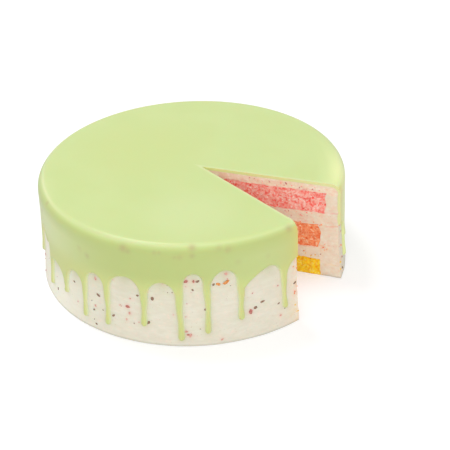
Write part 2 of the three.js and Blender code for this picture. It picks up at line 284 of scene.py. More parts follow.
class Wiring:
    """Adds nodes to a material or group in short lines."""

    def __init__(self, tree):
        self.tree = tree
        tree.nodes.clear()

    def node(self, kind, inputs=(), **settings):
        made = self.tree.nodes.new(kind)
        for key, value in settings.items():
            setattr(made, key, value)
        for key, value in dict(inputs).items():
            if isinstance(value, bpy.types.NodeSocket):
                self.tree.links.new(value, made.inputs[key])
            else:
                made.inputs[key].default_value = value
        return made

    def blend(self, share, first, second):
        """Mixes two colours."""
        return self.node("ShaderNodeMix", {0: share, 6: first, 7: second}, data_type="RGBA").outputs[2]

    def tints(self, colour, *rows):
        """Lays tints over a colour. Each has a mask, and its 0 to 255 levels or a colour made by nodes."""
        for mask, tint in rows:
            ready = isinstance(tint, bpy.types.NodeSocket)
            colour = self.blend(mask, colour, tint if ready else linear(*tint))
        return colour

    def maths(self, operation, *values):
        return self.node("ShaderNodeMath", dict(enumerate(values)), operation=operation).outputs[0]

    def span(self, value, low, high, first=0.0, second=1.0):
        """Spreads a value between two limits, smoothly."""
        inputs = {"Value": value, "From Min": low, "From Max": high, "To Min": first, "To Max": second}
        return self.node("ShaderNodeMapRange", inputs, interpolation_type="SMOOTHSTEP").outputs[0]

    def place(self, stretch=(1, 1, 1)):
        """The place on the cake in millimetres, squeezed by `stretch`."""
        spot = self.node("ShaderNodeTexCoord").outputs["Object"]
        scale = tuple(1 / MILLIMETRE / amount for amount in stretch)
        return self.node("ShaderNodeMapping", {"Vector": spot, "Scale": scale}).outputs[0]

    def noise(self, place, size, detail=2.0, roughness=0.5):
        inputs = {"Vector": place, "Scale": 1 / size, "Detail": detail, "Roughness": roughness}
        return self.node("ShaderNodeTexNoise", inputs).outputs["Fac"]

    def cells(self, place, size):
        """Round cells: the distance from the middle of each, and a random number for each."""
        made = self.node("ShaderNodeTexVoronoi", {"Vector": place, "Scale": 1 / size, "Randomness": 1.0})
        drawn = self.node("ShaderNodeSeparateColor", {"Color": made.outputs["Color"]})
        return made.outputs["Distance"], drawn.outputs[0]

    def attribute(self, name, share=1.0):
        """A number that the mesh keeps, times a share."""
        value = self.node("ShaderNodeAttribute", attribute_name=name).outputs["Fac"]
        return value if share == 1.0 else self.maths("MULTIPLY", value, share)


def new_group(name, *colours):
    """A node group that takes the named colours and gives a surface's colour and height."""
    tree = bpy.data.node_groups.new(name, "ShaderNodeTree")
    for title in colours:
        tree.interface.new_socket(title, in_out="INPUT", socket_type="NodeSocketColor")
    tree.interface.new_socket("Colour", in_out="OUTPUT", socket_type="NodeSocketColor")
    tree.interface.new_socket("Height", in_out="OUTPUT", socket_type="NodeSocketFloat")
    wiring = Wiring(tree)
    return tree, wiring, wiring.node("NodeGroupInput").outputs


def new_material(name):
    material = bpy.data.materials.new(name)
    material.use_nodes = True
    return material, Wiring(material.node_tree)


def finish_material(wiring, colour, height, rise, **constants):
    """Ends a material with its shader. `rise` is how high, in millimetres, the bump stands."""
    inputs = {"Height": height, "Distance": rise * MILLIMETRE, "Strength": 1.0}
    normal = wiring.node("ShaderNodeBump", inputs).outputs[0]
    titles = {key.replace("_", " ").title(): value for key, value in constants.items()}
    titles["IOR"] = titles.pop("Ior", 1.45)
    inputs = {"Base Color": colour, "Normal": normal, **titles}
    shader = wiring.node("ShaderNodeBsdfPrincipled", inputs, subsurface_method="RANDOM_WALK")
    wiring.node("ShaderNodeOutputMaterial", {"Surface": shader.outputs[0]})


# The crumb: pale grains and darker patches, with painted shade in its hollows: darkest in the bubbles that
# the mesh marks, and darker in small round pores.
open_crumb, wiring, given = new_group("Open crumb", "Crumb", "Hollow", "Fleck")
spot = wiring.place()
middle_distance, tone = wiring.cells(spot, 1.5)
grains = wiring.noise(spot, 0.7, 3.0, 0.65)
clouds = wiring.noise(spot, 2.6)
light_grains = wiring.maths("MULTIPLY", wiring.span(tone, 0.5, 0.95), wiring.span(grains, 0.35, 0.6))
pale = wiring.maths("MAXIMUM", light_grains, wiring.span(grains, 0.55, 0.75, 0.0, 0.7))
dark_grains = wiring.span(tone, 0.3, 0.05, 0.0, 0.6)
patches = wiring.maths("MAXIMUM", wiring.span(clouds, 0.44, 0.7, 0.0, 0.7), dark_grains)
small_pores = wiring.span(middle_distance, 0.28, 0.1, 0.0, 0.55)
hollow = wiring.maths("MAXIMUM", wiring.attribute("pore", 0.85), small_pores)
crumb = wiring.tints(
    given["Crumb"], (pale, given["Fleck"]), (patches, given["Hollow"]), (hollow, given["Hollow"])
)
rough = wiring.maths("SUBTRACT", wiring.maths("MULTIPLY", grains, 0.6), small_pores)
wiring.node("NodeGroupOutput", {"Colour": crumb, "Height": rough})

# Each sponge: its layer and slot, then the colours of its crumb, hollows and flecks.
SPONGES = (
    (0, "yellow_sponge", (255, 217, 44), (250, 168, 14), (255, 240, 128)),
    (2, "orange_sponge", (255, 164, 114), (238, 104, 56), (255, 222, 184)),
    (4, "pink_sponge", (255, 182, 166), (250, 85, 78), (255, 232, 220)),
)
for layer, slot, *tones in SPONGES:
    flavour = slot.split("_")[0]
    points, quads, triangles = layer_shell(layer, SPONGE_ROW_STEP)
    points = fray(points)
    cut, outwards = on_cut(points)
    wall = points[cut]
    holes = pores(wall, 4.0, 0.4, 1.15, 31 + layer)
    bubbles = pores(wall, 1.7, 0.2, 0.7, 51 + layer)
    relief = 0.2 * ripple(wall, 1.1, 61) + 0.4 * ripple(wall, 3.0, 62)
    sunk = np.maximum(holes, bubbles)
    shift = (relief - SPONGE_RISE * sunk - 0.15) * tip_fade(wall)
    points[cut] += outwards[cut] * shift[:, None]
    piece = make_piece("crumb_" + flavour, points, quads, triangles, crease=60)
    # Painted shade: each wall is darkened by how deep the mesh sinks it into a bubble, and along the faces
    # between layers, partly the sponge's own crust and partly painted shade in the gap.
    hollows = np.zeros(len(points))
    rind_and_gap_shade = np.exp(-face_distance(wall) / 0.7) * np.clip(0.35 + 1.3 * ripple(wall, 2.6, 63), 0, 1)
    hollows[cut] = np.clip(np.maximum(sunk / 0.7 - 0.15 * relief, rind_and_gap_shade), 0, 1)
    mark(piece, "pore", hollows)
    material, wiring = new_material("Sponge crumb, " + flavour)
    colours = {title: linear(*tone) for title, tone in zip(("Crumb", "Hollow", "Fleck"), tones)}
    crumb = wiring.node("ShaderNodeGroup", colours, node_tree=open_crumb)
    finish_material(wiring, *crumb.outputs, 0.35, roughness=0.9, ior=1.3)
    piece.data.materials.append(material)
    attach(piece, "root")
    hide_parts(LAYERS[layer][0])

# The two fillings: beaten cream cheese icing spread between the sponges. It is the same cream as the coat,
# so the cut shows no seam between them, only drag marks of the knife and crumbs pulled into it.
CUT_ROW_STEP = 0.6
# The height of the cream over the stack, and how far out the stack goes.
COVER_FOOT, STACK_REACH = 74, 107


def drag_marks(points):
    """The relief of cut cream: long shallow marks of the knife, small pits and soft lumps."""
    marks = 0.14 * ripple(points, (7, 7, 0.9), 71) + 0.1 * ripple(points, 1.3, 72)
    lumps = 0.3 * ripple(points, 6.0, 73)
    pits = pores(points, 3.1, 0.1, 0.75, 74)
    return marks + lumps - 0.55 * pits


def smears(points):
    """How much crumb the knife dragged over the cream at each point of the cut."""
    streaks = ripple(points, (6, 6, 1.1), 81) + 0.6 * ripple(points, (2.2, 2.2, 0.8), 82)
    return np.clip((streaks - 0.25) * np.exp(-face_distance(points) / 2.6) * 1.5, 0, 1)


def cut_warmth(points):
    """How warm the cut cream is: the sponges' colour worked in by the knife, and painted bounce light from
    them.
    """
    beside = np.exp(-face_distance(points) / 2.2) * (np.hypot(points[:, 0], points[:, 1]) < STACK_REACH)
    return np.where(points[:, 2] > COVER_FOOT, 1.0, 0.6 + 0.4 * beside)


cream_icing, wiring = new_material("Cream icing")
spot = wiring.place()
height_z = wiring.node("ShaderNodeSeparateXYZ", {"Vector": spot}).outputs["Z"]
low_streaks = wiring.noise(wiring.place((2.5, 2.5, 1)), 3.4, 3.0, 0.6)
fine_streaks = wiring.noise(wiring.place((4, 4, 1)), 1.2)
grain = wiring.noise(spot, 0.9)
blots = wiring.noise(spot, 3.6, 3.0, 0.6)
cut_cream = wiring.tints(
    linear(248, 225, 197),
    (wiring.span(blots, 0.52, 0.68, 0.0, 0.75), (255, 246, 228)),
    (wiring.span(blots, 0.47, 0.34, 0.0, 0.7), (248, 200, 170)),
)
# What is smeared over the cream is yellow at the lowest sponge, then orange, then pink.
smeared_crumb = wiring.tints(
    linear(250, 190, 70),
    (wiring.span(height_z, 17.5, 24.8), (246, 150, 110)),
    (wiring.span(height_z, 43.3, 55.6), (240, 150, 145)),
)
speck_distance, drawn = wiring.cells(spot, 2.6)
specks = wiring.maths(
    "MULTIPLY", wiring.span(speck_distance, 0.17, 0.06), wiring.span(drawn, 0.6, 0.66, 0.0, 0.4)
)
cream = wiring.tints(
    linear(231, 226, 209),
    (wiring.span(low_streaks, 0.3, 0.75, 0.55, 0.0), (219, 211, 190)),
    (wiring.span(wiring.noise(spot, 3.0), 0.5, 0.8, 0.0, 0.5), (244, 222, 204)),
    # Painted light: the coat's side is lightened at the left, where the light falls on it.
    (wiring.attribute("left_side_light"), (255, 252, 236)),
    # Partly the glaze's seepage and partly painted shade: the cream is darkened along the glaze's edge and
    # below its arches.
    (wiring.attribute("seep_and_shade"), (202, 201, 166)),
    # Partly the sponges' colour worked in by the knife and partly painted warm bounce light from the
    # sponges.
    (wiring.attribute("cut", 0.8), cut_cream),
    # Painted contact shade: the cream darkens in its lowest two millimetres, towards the plate.
    (wiring.span(height_z, 2.0, 0.2, 0.0, 0.5), (190, 184, 168)),
    (wiring.attribute("smear", 0.7), smeared_crumb),
    (wiring.attribute("juice", 0.4), (236, 150, 150)),
    (specks, (190, 150, 130)),
)
rough = wiring.maths("ADD", fine_streaks, wiring.maths("MULTIPLY", grain, 0.5))
finish_material(
    wiring, cream, rough, 0.07, roughness=0.6, ior=1.4, subsurface_weight=0.15, subsurface_scale=0.003
)

for layer in (1, 3):
    points, quads, triangles = layer_shell(layer, CUT_ROW_STEP)
    points = fray(points)
    cut, outwards = on_cut(points)
    wall = points[cut]
    points[cut] += outwards[cut] * (drag_marks(wall) * tip_fade(wall))[:, None]
    piece = make_piece(LAYERS[layer][0].replace("filling", "spread"), points, quads, triangles)
    smeared = np.zeros(len(points))
    smeared[cut] = smears(wall)
    mark(piece, "smear", smeared)
    mark(piece, "cut", cut * cut_warmth(points))
    piece.data.materials.append(cream_icing)
    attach(piece, "root")
    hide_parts(LAYERS[layer][0])

# The flakes: shards of dried red fruit and chips of candied orange peel, stirred into the cream, some dark
# and crisp, some pale or stained pink. They lie half sunk in the coat's side, and a few show where the
# cream is cut. Juice spreads into the cream round the wettest.
COAT_RADIUS, COAT_TOP, COAT_CORNER, COAT_FLARE = 118.1, 81.5, 5.6, 4.4
# The plainest flakes of the shown side: angle round the cake, height, length and kind.
SHOWN_FLAKES = (
    (-34.2, 22.5, 4.2, "red"), (-29.6, 28.2, 3.8, "brown"), (-32.4, 24.9, 3.2, "brown"),
    (-52.3, 54.5, 2.6, "brown"), (-56.3, 54.7, 3.6, "red"), (-89.8, 30.3, 3.6, "brown"),
    (-77.7, 28.4, 3.4, "red"), (-68.2, 38.9, 3.2, "brown"), (-73.7, 39.6, 2.0, "brown"),
    (-42.5, 51.1, 5.4, "orange"), (-45.2, 50.4, 3.4, "orange"), (-50.0, 30.4, 3.0, "brown"),
    (-83.4, 17.4, 3.0, "brown"), (-15.8, 33.2, 3.0, "brown"), (-91.1, 4.7, 2.4, "brown"),
    (-70.0, 18.1, 2.8, "brown"), (-55.6, 9.1, 3.8, "pink"), (-23.3, 22.0, 2.4, "brown"),
    (-57.1, 12.4, 3.4, "pink"), (-46.9, 50.6, 2.4, "brown"), (-56.4, 9.8, 2.2, "red"),
    (-77.0, 23.0, 2.6, "pink"), (-44.8, 3.8, 2.4, "pink"), (-90.7, 44.0, 2.6, "pink"),
    (-42.5, 58.4, 3.2, "pink"), (-92.0, 16.2, 2.0, "brown"), (-78.2, 17.1, 1.8, "pink"),
    (-113.9, 12.2, 2.2, "brown"), (-22.7, 11.2, 2.0, "pink"), (-54.1, 47.2, 1.8, "brown"),
    (-91.3, 20.3, 2.0, "pink"), (-23.3, 37.3, 1.8, "pink"), (-102.0, 31.5, 2.4, "brown"),
    (-53.7, 54.4, 2.4, "red"),
)
# Each kind of flake: its lighter and darker colour, and its least and greatest width for its length.
FLAKE_KINDS = {
    "red": ((208, 136, 124), (168, 94, 86), (0.45, 0.8)),
    "pink": ((234, 182, 166), (208, 146, 134), (0.45, 0.8)),
    "brown": ((168, 134, 112), (122, 90, 72), (0.45, 0.8)),
    "orange": ((246, 168, 98), (206, 122, 62), (0.8, 1.0)),
}
HIDDEN_FLAKES, FAINT_FLAKES, CUT_FLAKES = 105, 36, 24
CUT_FLAKE_REACH = 110
FLAKE_THICKEST, FLAKE_PROUD = 0.9, 0.12
SHARD_RINGS, SHARD_SPOKES = 5, 9


def coat_radius(height):
    """The radius of the coat's side at a height: nearly upright, flared at the foot."""
    return COAT_RADIUS + COAT_FLARE * (1 - np.asarray(height) / COAT_TOP) ** 2


def side_spot(angle, height, offset=0.0):
    """A point on or off the coat's side, and the level way out there."""
    out = np.array((*heading(math.radians(angle)), 0.0))
    return (coat_radius(height) + offset) * out + (0, 0, height), out


def shard(shell, centre, out, length, width, depth, salt):
    """Adds one crumpled lump, lying flat against the way out of the surface that carries it."""
    out = Vector(out).normalized()
    turn = Matrix.Rotation(chance.uniform(0, math.pi), 3, out)
    lean = Matrix.Rotation(chance.normal(0, 0.2), 3, turn @ out.orthogonal())
    side = lean @ turn @ out.orthogonal().normalized()
    out = lean @ out
    tilts, spins = np.linspace(0, math.pi, SHARD_RINGS), np.linspace(0, 2 * math.pi, SHARD_SPOKES)
    tilt, spin = np.meshgrid(tilts, spins, indexing="ij")
    ball = np.stack((np.sin(tilt) * np.cos(spin), np.sin(tilt) * np.sin(spin), np.cos(tilt)), -1)
    lumpy = 1 + 0.45 * ripple(ball + 7.3 * salt, 0.8, 91)
    local = ball * lumpy[..., None] * np.array((length, width, depth)) / 2
    shell.sheet(np.asarray(centre) + local @ np.array((side, out.cross(side), out)))


flakes = list(SHOWN_FLAKES)
for _ in range(HIDDEN_FLAKES):
    angle = chance.uniform(17, 228)
    kind = chance.choice(list(FLAKE_KINDS), p=(0.2, 0.34, 0.38, 0.08))
    flakes.append((angle, chance.uniform(4, 66), chance.uniform(1.3, 3.2), str(kind)))
for _ in range(FAINT_FLAKES):
    kind = chance.choice(("pink", "brown"), p=(0.6, 0.4))
    flakes.append((chance.uniform(-124, -16), chance.uniform(4, 56), chance.uniform(0.6, 1.4), str(kind)))

# The fruit in the cut cream: wall, station along it, height, length and kind of each bit.
cut_flakes = [
    (0, 75.0, 79.4, 2.2, "red"), (0, 60.6, 78.8, 2.4, "pink"), (0, 97.8, 77.4, 1.8, "red"),
    (0, 88.4, 78.2, 1.5, "pink"), (0, 43.0, 79.8, 1.5, "pink"),
]
CREAM_STRIPS = ((layer_foot(1), layer_foot(2)), (layer_foot(3), layer_foot(4)), (layer_foot(5), COAT_TOP))
for number in range(CUT_FLAKES):
    low, high = CREAM_STRIPS[chance.choice(len(CREAM_STRIPS))]
    place = (CUT_FLAKE_REACH * math.sqrt(chance.uniform(0.05, 1)), chance.uniform(low + 1, high - 1))
    kind = chance.choice(("red", "pink"), p=(0.4, 0.6))
    cut_flakes.append((number % 2, *place, chance.uniform(0.7, 1.8), str(kind)))

# The skin of dried fruit: mottled, and darkest where it stands up.
fruit_skin, wiring, given = new_group("Dried fruit skin", "Light", "Dark")
mottle = wiring.noise(wiring.place(), 0.8, 3.0, 0.7)
mottled = wiring.blend(wiring.span(mottle, 0.35, 0.65), given["Light"], given["Dark"])
wiring.node("NodeGroupOutput", {"Colour": mottled, "Height": mottle})

for kind, (light, dark, widths) in FLAKE_KINDS.items():
    shell = Shell()
    for number, (wall, station, height, length, flake_kind) in enumerate(cut_flakes):
        if flake_kind == kind:
            centre = (*spots_on_rays(NOTCH_TURNS[[wall]], station)[0], height)
            shard(shell, centre, WALL_OUTS[wall], length, 0.6 * length, 0.45 * length, 400 + number)
    for number, (angle, height, length, flake_kind) in enumerate(flakes):
        if flake_kind == kind:
            centre, out = side_spot(angle, height, FLAKE_PROUD)
            width = length * chance.uniform(*widths)
            shard(shell, centre, out, length, width, min(FLAKE_THICKEST, 0.45 * length), number)
    piece = make_piece("flakes_" + kind, *shell.weld(), crease=30)
    material, wiring = new_material("Dried fruit, " + kind)
    colours = {"Light": linear(*light), "Dark": linear(*dark)}
    skin = wiring.node("ShaderNodeGroup", colours, node_tree=fruit_skin)
    finish_material(wiring, *skin.outputs, 0.3, roughness=0.55, ior=1.4)
    piece.data.materials.append(material)
    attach(piece, "root")

# The coat: the same cream, drawn round the stack with a long palette knife. Its side keeps fine level
# streaks and small pits, its top edge is rounded, and its foot flares where it meets the plate.
SIDE_COLUMNS = 481
SHELF_STEPS, CORNER_STEPS = 10, 8
LID_ROWS = 10
COAT_ROW_STEP = 0.75
LID = len(LAYERS)
# How much juice each wet kind of flake gives.
JUICE = {"red": 1.0, "pink": 0.6}
corner_start, corner_foot = COAT_RADIUS - COAT_CORNER, COAT_TOP - COAT_CORNER
stack_stations = stations_to(LAYERS[-1][2])
shelf_stations = np.linspace(LAYERS[-1][2], corner_start, SHELF_STEPS + 1)
corner_stations = corner_start + COAT_CORNER * np.sin(np.linspace(0, math.pi / 2, CORNER_STEPS + 1))


def edge_distance(points):
    """How far each point lies from the nearer wall of the notch, measured square to the wall."""
    away = points[:, :2] - NOTCH_TIP
    distances = []
    for turn, out in zip(NOTCH_TURNS, WALL_OUTS):
        distances.append(np.where(away @ heading(turn) > 0, np.abs(away @ out[:2]), np.inf))
    return np.minimum(*distances)


def bell(values, middle, spread):
    """A share that is 1 at the middle value and falls softly away on both sides."""
    return np.exp(-((values - middle) / spread) ** 2)


def lid_height(station):
    """The height of the coat's top over a station, down over its rounded edge."""
    past = min(max(station - corner_start, 0), COAT_CORNER)
    return corner_foot + math.sqrt(COAT_CORNER ** 2 - past ** 2)


def coat_points(turns, station, layer, shares):
    """Points of the coat beside one layer, or in the lid, at shares of its height: turns by shares."""
    spots = spots_on_rays(turns, min(station, COAT_RADIUS))
    low = face_height(layer - 1, *spots.T)
    high = np.full(len(turns), lid_height(station)) if layer == LID else face_height(layer, *spots.T)
    heights = low[:, None] + (high - low)[:, None] * shares
    flat = np.broadcast_to(spots[:, None], heights.shape + (2,))
    if station >= corner_start:
        beyond = (station - corner_start) / COAT_CORNER
        circles = station + beyond * (coat_radius(np.minimum(heights, corner_foot)) - COAT_RADIUS)
        way = heading(turns)
        flat = NOTCH_TIP + way[:, None] * reach_to(way, circles)[..., None]
    return np.concatenate((flat, heights[..., None]), -1)


def coat_level(turns, stations, layer, share):
    """Points of the coat at one share of a layer's height: turns by stations."""
    return np.stack([coat_points(turns, station, layer, share)[:, 0] for station in stations], 1)


shell = Shell()
few, many = np.linspace(*NOTCH_TURNS, LAYER_COLUMNS), np.linspace(*NOTCH_TURNS, SIDE_COLUMNS)
for layer in range(LID + 1):
    rows, first = LID_ROWS, 0
    if layer < LID:
        _, roof, inner = LAYERS[layer]
        rows, first = round((roof - layer_foot(layer)) / COAT_ROW_STEP), round(inner / WALL_STEP)
    shares = np.linspace(0, 1, rows + 1)
    shell.sheet(coat_points(many, COAT_RADIUS, layer, shares))
    if layer < LID:
        shell.sheet(coat_points(few, inner, layer, shares))
    stations = np.concatenate((stack_stations[first:], shelf_stations[1:], corner_stations[1:]))
    for wall in np.stack([coat_points(NOTCH_TURNS, station, layer, shares) for station in stations], 1):
        shell.sheet(wall)
    if layer == 0:
        foot = coat_level(few, stations, 0, 0.0)
        shell.sheet(foot[:, :-1])
        shell.strip(foot[:, -2], coat_points(many, COAT_RADIUS, 0, 0.0)[:, 0])
    if layer < LID:
        above = LAYERS[layer + 1][2] if layer + 1 < LID else 0.0
        low, high = sorted((first, round(above / WALL_STEP)))
        shell.sheet(coat_level(few, stack_stations[low:high + 1], layer, 1.0))
arc = coat_level(many, corner_stations, LID, 1.0)
shell.sheet(arc)
cover = coat_level(few, np.concatenate((stack_stations, shelf_stations[1:])), LID, 1.0)
shell.sheet(cover[:, :-1])
shell.strip(cover[:, -2], arc[:, 0])
points, quads, triangles = shell.weld()
points = fray(points)

cut, outwards = on_cut(points)
wall = points[cut]
side = ~cut & (np.hypot(points[:, 0], points[:, 1]) > corner_start + 0.1)
side_points = points[side]
streaks = 0.09 * ripple(side_points, (10, 10, 3.0), 101) + 0.05 * ripple(side_points, (4, 4, 2.0), 102)
swell = 0.22 * ripple(side_points, (26, 26, 14), 103)
relief = streaks + swell - 0.5 * pores(side_points, 6.5, 0.0, 0.8, 104)
relief = np.where(relief > 0, relief * ramp(side_points[:, 2], 1, 7), relief)
round_out = side_points * (1, 1, 0) / np.hypot(side_points[:, 0], side_points[:, 1])[:, None]
points[cut] += outwards[cut] * (drag_marks(wall) * tip_fade(wall))[:, None]
points[side] += round_out * relief[:, None]
coat = make_piece("cream_skin", points, quads, triangles)

smeared, warmth = np.zeros(len(points)), cut * cut_warmth(points)
dragged = np.clip(0.35 + 0.8 * ripple(side_points, 3.4, 105), 0, 1)
smeared[cut] = smears(wall)
smeared[side] = 0.6 * dragged * np.exp(-edge_distance(side_points) / 5)
warmth[side] = 0.75 * np.exp(-edge_distance(side_points) / 9)
around = np.degrees(np.arctan2(points[:, 1], points[:, 0]))
juice = np.zeros(len(points))
for angle, height, length, kind in flakes:
    if kind in JUICE:
        away = np.linalg.norm(points - side_spot(angle, height)[0], axis=1)
        juice = np.maximum(juice, JUICE[kind] * bell(away, 0, 0.5 * length + 0.5))
mark(coat, "smear", smeared)
mark(coat, "cut", warmth)
# Painted light on the coat's left side, round -118 degrees.
mark(coat, "left_side_light", 0.8 * side * bell(around, -118, 20))
mark(coat, "juice", juice)
coat.data.materials.append(cream_icing)
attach(coat, "root")
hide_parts("cream_coat")

# The glaze: warm pale green icing poured over the chilled cake, and cut clean by the knife. It set as a
# smooth even skin on top, a rolled rim, a band with round arches, and thin drips that end in soft drops.
GLAZE_GAP, GLAZE_BACK, BACK_TOP = 0.3, -0.35, -0.1
TOP_THICKNESS, SIDE_THICKNESS, DROP_THICKNESS = 2.2, 1.6, 1.9
LIP_WIDTH, LIP_SHARE = 2.2, 0.42
BAND_FOOT, ARCH_RISE = 69.0, 13.0
# The half widths of a drip's neck, waist and drop for its own, and how tall the drop is for its half width.
NECK_SHARE, WAIST_SHARE, DROP_SHARE, DROP_TALL = 1.3, 0.85, 1.06, 1.2
# The drips of the shown side: middle, tip, width, then the arch to their right, its crown and its flank.
SHOWN_DRIPS = (
    (-118.4, 12.0, 4.4, -114.6, 37.0, 2.0), (-106.8, 17.4, 4.6, -101.0, 41.6, 2.0),
    (-96.0, 7.5, 4.4, -90.9, 48.4, 2.0), (-85.8, 8.3, 4.6, -78.1, 53.5, 2.0),
    (-71.4, 14.4, 4.8, -64.9, 52.6, 2.0), (-58.8, 4.7, 5.0, -53.8, 60.5, 2.0),
    (-49.3, 9.9, 4.6, -42.9, 61.1, 1.8), (-37.4, 17.5, 4.8, -26.6, 56.4, 1.3),
    (-20.6, 16.0, 4.4, -13.6, 54.6, 2.0),
)
ROUND_FLANK = 2.0
HIDDEN_DRIPS = 17
HIDDEN_TIP, HIDDEN_WIDTH, HIDDEN_CROWN, HIDDEN_FLANK = (5, 24), (4.0, 5.4), (46, 63), (1.5, 2.2)
LIP_COLUMNS = np.array((0, 0.1, 0.3, 0.6, 1.0, 1.5, 2.2))
LIP_ROWS = np.array((2.2, 1.6, 1.1, 0.7, 0.4, 0.15, 0.0))
FLANK_BENDS = np.radians(np.linspace(0, 90, 19))
BAND_ROWS, SHOULDER_ROWS, DROP_ROWS, LEAST_RUN_ROWS, RUN_ROW_STEP = 10, 6, 10, 8, 1.1
MIDDLE_COLUMNS, BACK_COLUMNS, TOP_COLUMNS = 15, 5, 192
RIM_STEPS, BACK_RIM_STEPS, TOP_RINGS = 12, 4, 15


def draw(item, salt, low, high):
    """A repeatable draw between two limits for the numbered item."""
    wave = math.sin(item * 12.9898 + salt * 78.233) * 43758.5453
    return low + (high - low) * (wave - math.floor(wave))


def smooth(share):
    share = np.clip(share, 0, 1)
    return share * share * (3 - 2 * share)


def drip_edge(tip, width, reach, crown, flank, rows):
    """One side of a drip, from the arch's crown to the tip: distance from its middle line, and height."""
    neck, waist, drop = (share * width / 2 for share in (NECK_SHARE, WAIST_SHARE, DROP_SHARE))
    rise = min(1.1 * (reach - neck) + 2, ARCH_RISE, 0.6 * (crown - tip))
    flank_x = reach - (reach - neck) * np.sin(FLANK_BENDS) ** (2 / flank)
    flank_z = crown - rise + rise * np.maximum(np.cos(FLANK_BENDS), 0) ** (2 / flank)
    drop_top = tip + DROP_TALL * drop
    down = np.linspace(0, 1, rows + 1)[1:]
    run_x = waist + (neck - waist) * (1 - smooth(down / 0.6)) + (drop - waist) * smooth((down - 0.6) / 0.4)
    run_z = crown - rise + (drop_top - crown + rise) * down
    bends = np.radians(np.linspace(0, 90, DROP_ROWS + 1)[1:])
    drop_x = drop * np.cos(bends)
    drop_x[-1] = 0
    drop_z = drop_top - DROP_TALL * drop * np.sin(bends)
    return np.stack((np.concatenate((flank_x, run_x, drop_x)), np.concatenate((flank_z, run_z, drop_z))), -1)


def lip_distance(spots, line):
    """The distance from each spot to a line of points, on the unrolled side."""
    start, step = line[:-1], np.diff(line, axis=0)
    away = spots[..., None, :] - start
    along = (away * step).sum(-1) / np.maximum((step ** 2).sum(-1), 1e-9)
    away = away - np.clip(along, 0, 1)[..., None] * step
    return np.sqrt((away ** 2).sum(-1)).min(-1)


def side_point(spots, offset):
    """Points on the cake's side from distance round and height, standing off the coat."""
    way = heading(spots[..., 0] / COAT_RADIUS) * (coat_radius(spots[..., 1]) + offset)[..., None]
    return np.concatenate((way, spots[..., 1:]), -1)


# All drips in order round the cake, each with the arch on its right.
ring = list(SHOWN_DRIPS)
last_arch = ring[-1][3]
drip_step = (ring[0][0] + 360 - last_arch) / (HIDDEN_DRIPS + 0.5)
for item in range(HIDDEN_DRIPS):
    start = last_arch + item * drip_step
    middle = start + drip_step * draw(item, 1, 0.38, 0.62)
    arch = start + drip_step * draw(item, 4, 0.94, 1.06)
    shape = (draw(item, 2, *HIDDEN_TIP), draw(item, 3, *HIDDEN_WIDTH))
    ring.append((middle, *shape, arch, draw(item, 5, *HIDDEN_CROWN), draw(item, 10, *HIDDEN_FLANK)))

drips = []
for item, (middle, tip, width, arch, crown, flank) in enumerate(ring):
    left_arch, left_crown = ring[item - 1][3:5]
    if item == 0:
        left_arch -= 360
    centre, *arches = (math.radians(angle) * COAT_RADIUS for angle in (middle, left_arch, arch))
    crowns = (left_crown, crown)
    neck_height = min(crowns) - ARCH_RISE
    rows = max(LEAST_RUN_ROWS, round((neck_height - tip) / RUN_ROW_STEP))
    edges = []
    for hand, crest, top, bend in zip((-1, 1), arches, crowns, (ROUND_FLANK, flank)):
        edge = drip_edge(tip, width, hand * (crest - centre), top, bend, rows)
        fall = np.maximum(neck_height - edge[:, 1], 0)
        sway = 0.4 * np.sin(fall / 8.5 + 2.1 * item) * smooth(fall / 14)
        edges.append(np.stack((centre + hand * edge[:, 0] + sway, edge[:, 1]), -1))
    drips.append((edges, crowns))

whole_turn = 2 * math.pi * COAT_RADIUS
glaze = Shell()
front_band, back_band = [], []
for item, (edges, crowns) in enumerate(drips):
    before = drips[item - 1][0][1] - (whole_turn if item == 0 else 0, 0)
    after = drips[(item + 1) % len(drips)][0][0] + (whole_turn if item + 1 == len(drips) else 0, 0)
    sides = []
    for edge, crown in zip(edges, crowns):
        band = BAND_FOOT + (crown + LIP_ROWS[0] - BAND_FOOT) * np.linspace(0, 1, BAND_ROWS + 1)[:-1]
        upper = np.concatenate((band, crown + LIP_ROWS))
        sides.append(np.concatenate((np.stack((np.full(len(upper), edge[0, 0]), upper), -1), edge[1:])))
    starts, finishes = sides
    run_rows = len(edges[0]) - len(FLANK_BENDS) - DROP_ROWS
    swelling = np.concatenate((smooth(np.linspace(-0.6, 1, run_rows)), np.ones(DROP_ROWS)))
    swelling = np.concatenate((np.zeros(len(starts) - len(swelling)), swelling))
    thick = SIDE_THICKNESS + (DROP_THICKNESS - SIDE_THICKNESS) * swelling
    spans = np.maximum(np.linalg.norm(finishes - starts, axis=1), 1e-3)
    near = LIP_COLUMNS * np.minimum(1, LIP_SHARE * spans / LIP_WIDTH)[:, None] / spans[:, None]
    between = near[:, -1:] + (1 - 2 * near[:, -1:]) * np.linspace(0, 1, MIDDLE_COLUMNS + 2)[1:-1]
    shares = np.concatenate((near, between, 1 - near[:, ::-1]), 1)
    spots = starts[:, None] + (finishes - starts)[:, None] * shares[..., None]
    distance = np.minimum.reduce([lip_distance(spots, line) for line in (before, *edges, after)])
    inwards = ramp(distance, LIP_WIDTH, 0)
    front = side_point(spots, (thick[:, None] + GLAZE_GAP) * (1 - inwards ** 2) ** 0.75)
    glaze.sheet(front)
    back_spots = starts[:, None] + (finishes - starts)[:, None] * np.linspace(0, 1, BACK_COLUMNS)[:, None]
    back = side_point(back_spots, GLAZE_BACK)
    glaze.sheet(back)
    lip_row = BAND_ROWS + len(LIP_ROWS) - 1
    for column in (0, -1):
        glaze.sheet(np.stack((front[lip_row:, column], back[lip_row:, column]), 1))
    front_band.append(front[0, :-1])
    back_band.append(back[0, :-1])


def ring_at(foot, radius, height, count=None):
    """A closed ring at a radius and height, above the points of a lower ring or evenly spaced."""
    turns = np.arctan2(foot[:, 1], foot[:, 0])
    if count:
        turns = np.linspace(turns[0], turns[0] + 2 * math.pi, count + 1)
    points = np.concatenate((radius * heading(turns), np.full((len(turns), 1), height)), 1)
    points[-1] = points[0]
    return points


